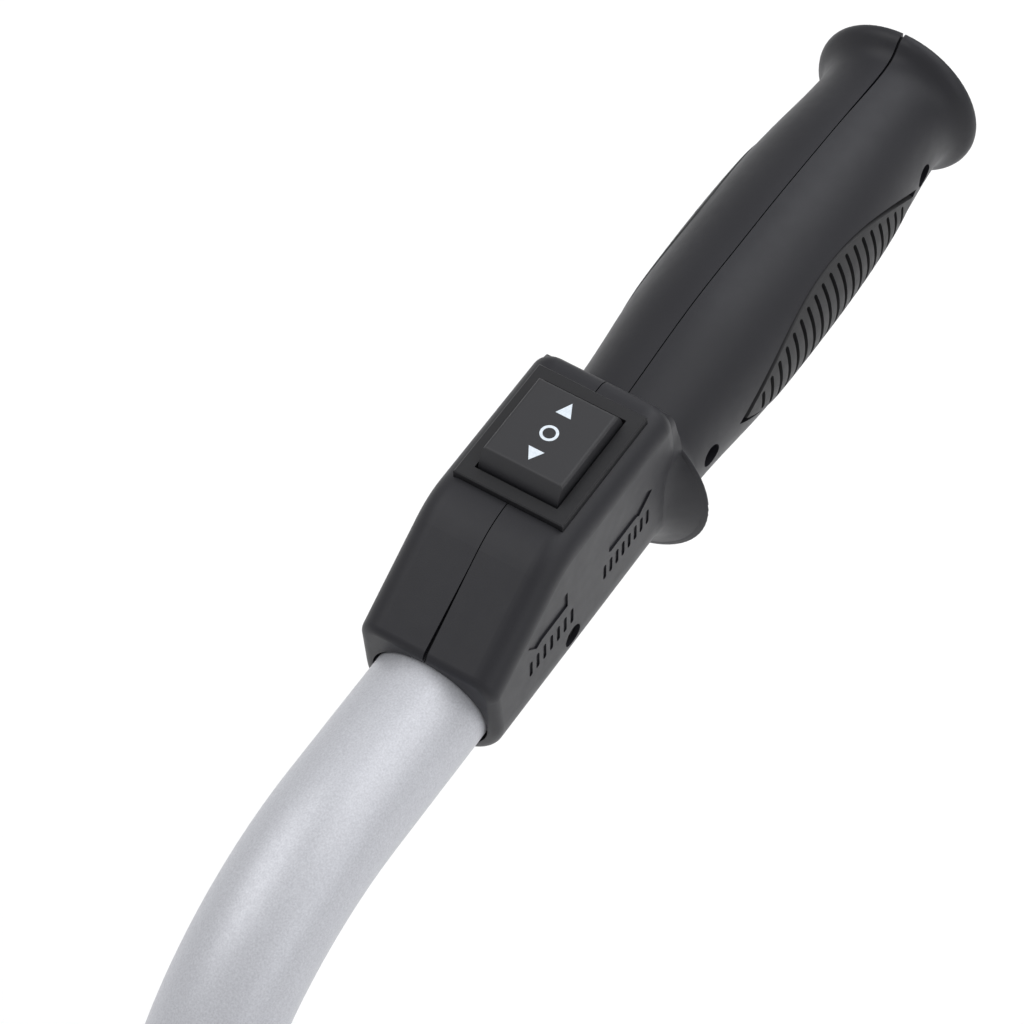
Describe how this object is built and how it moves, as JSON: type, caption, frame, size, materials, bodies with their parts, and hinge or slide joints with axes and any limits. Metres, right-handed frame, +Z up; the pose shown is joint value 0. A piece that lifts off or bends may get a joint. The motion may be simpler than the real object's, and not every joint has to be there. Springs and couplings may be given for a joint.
{
  "type": "two-way switch handle",
  "caption": "Hand grip with a forward-off-backward rocker switch in its housing, on the end of a bent round steel tube.",
  "frame": {"origin": "centre of the open lower end of the bent tube", "axes": "+X along the grip from the housing towards the pommel, +Y to the operator's right, as seen from behind the pommel, looking forward along -X with the switch up, +Z up along the tube's straight tail, towards the switch side"},
  "size_m": [0.2913, 0.0452, 0.1648],
  "materials": {
    "base_plastic": "black phenolic",
    "bush_plastic": "black polyamide",
    "cable_jacket": "black flexible jacket",
    "contact_copper": "copper alloy",
    "lead_black": "black insulation",
    "lead_blue": "blue insulation",
    "lead_red": "red insulation",
    "lead_yellow": "yellow insulation",
    "nut_steel": "zinc plate",
    "pad_rubber": "matte black ribbed rubber",
    "plug_plastic": "black polyamide",
    "plunger_plastic": "natural acetal",
    "rocker_plastic": "matte black plastic with printed marks",
    "screw_steel": "black oxide",
    "shell_plastic": "fine matte black moulded plastic",
    "sleeve_plastic": "soft red insulating sleeve",
    "spring_steel": "bright spring wire",
    "switch_plastic": "fine matte black plastic",
    "terminal_brass": "tinned brass",
    "tube_paint": "satin silver-grey powder coat"
  },
  "bodies": {
    "root": {"cable": "cable_jacket", "cable_plug": "plug_plastic", "case_screws": "screw_steel", "handle_tube": "tube_paint", "jumper_a": "lead_red", "jumper_b": "lead_black", "left_grip_pad": "pad_rubber", "left_shell": "shell_plastic", "motor_lead_a": "lead_red", "motor_lead_b": "lead_black", "plug_pins": "terminal_brass", "right_grip_pad": "pad_rubber", "right_shell": "shell_plastic", "spade_sleeves": "sleeve_plastic", "supply_lead_a": "lead_yellow", "supply_lead_b": "lead_blue", "switch_base": "base_plastic", "switch_frame": "switch_plastic", "terminal_common_left": "terminal_brass", "terminal_common_right": "terminal_brass", "terminal_front_left": "terminal_brass", "terminal_front_right": "terminal_brass", "terminal_rear_left": "terminal_brass", "terminal_rear_right": "terminal_brass", "tube_bolt": "screw_steel", "tube_end_bush": "bush_plastic", "tube_nut": "nut_steel"},
    "rocker": {"rocker": "rocker_plastic", "plunger_left": "plunger_plastic", "plunger_right": "plunger_plastic", "plunger_springs": "spring_steel"},
    "contact_lever_left": {"contact_lever_left": "contact_copper"},
    "contact_lever_right": {"contact_lever_right": "contact_copper"}
  },
  "joints": [
    {"name": "rocker_tilt", "type": "hinge", "parent": "root", "child": "rocker", "pos_m": [0.1374, 0, 0.1577], "axis": [0, 1, 0], "range_deg": [-11, 11], "stiffness_Nm_per_rad": 0.2},
    {"name": "contact_tilt_left", "type": "hinge", "parent": "root", "child": "contact_lever_left", "pos_m": [0.1374, -0.005, 0.1461], "axis": [0, 1, 0], "range_deg": [-6.1, 6.1]},
    {"name": "contact_tilt_right", "type": "hinge", "parent": "root", "child": "contact_lever_right", "pos_m": [0.1374, 0.005, 0.1461], "axis": [0, 1, 0], "range_deg": [-6.1, 6.1]}
  ],
  "couplings": [
    {"joint": "contact_tilt_left", "follows": "rocker_tilt", "ratio": -0.55},
    {"joint": "contact_tilt_right", "follows": "rocker_tilt", "ratio": -0.55}
  ]
}
